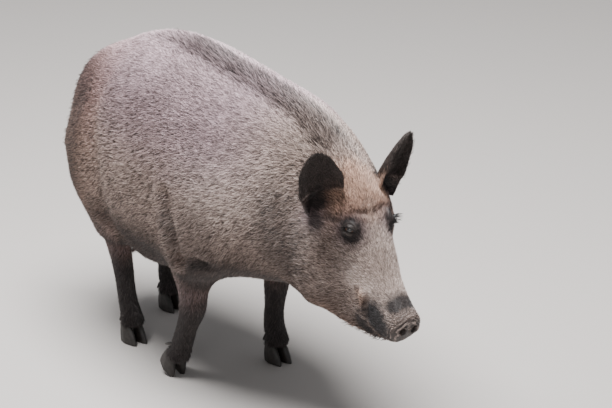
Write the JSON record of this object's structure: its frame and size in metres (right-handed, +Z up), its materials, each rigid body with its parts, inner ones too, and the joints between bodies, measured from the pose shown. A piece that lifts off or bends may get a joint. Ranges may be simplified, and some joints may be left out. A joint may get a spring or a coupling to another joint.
{
  "type": "wild boar",
  "caption": "Wild boar sow standing with her head lowered, one forefoot resting on its toes, as a still life-size animal figure.",
  "frame": {"origin": "on the floor, under the middle of the animal's bounding box", "axes": "+X towards the head, +Y towards the animal's left side, +Z up"},
  "size_m": [1.2386, 0.4212, 0.7052],
  "materials": {
    "coat_grey": "short flat grey-brown bristle coat, ticked pale and dark",
    "coat_dark": "very short blackish bristle on feet, ears and tail",
    "bare_skin": "bare wrinkled damp skin",
    "horn": "worn dark horn",
    "eyeball": "wet dark brown eye"
  },
  "bodies": {
    "root": {"trunk": "coat_grey", "neck": "coat_grey", "head": "coat_grey", "snout": "bare_skin", "tail": "coat_dark", "ear_left": "coat_dark", "eye_left": "eyeball", "ear_right": "coat_dark", "eye_right": "eyeball", "foreleg_right": "coat_grey", "forefoot_right": "coat_dark", "foreclaw_right_outer": "horn", "foredewclaw_right_outer": "horn", "foreclaw_right_inner": "horn", "foredewclaw_right_inner": "horn", "foreleg_left": "coat_grey", "forefoot_left": "coat_dark", "foreclaw_left_outer": "horn", "foredewclaw_left_outer": "horn", "foreclaw_left_inner": "horn", "foredewclaw_left_inner": "horn", "hindleg_right": "coat_grey", "hindfoot_right": "coat_dark", "hindclaw_right_outer": "horn", "hinddewclaw_right_outer": "horn", "hindclaw_right_inner": "horn", "hinddewclaw_right_inner": "horn", "hindleg_left": "coat_grey", "hindfoot_left": "coat_dark", "hindclaw_left_outer": "horn", "hinddewclaw_left_outer": "horn", "hindclaw_left_inner": "horn", "hinddewclaw_left_inner": "horn"}
  },
  "joints": []
}
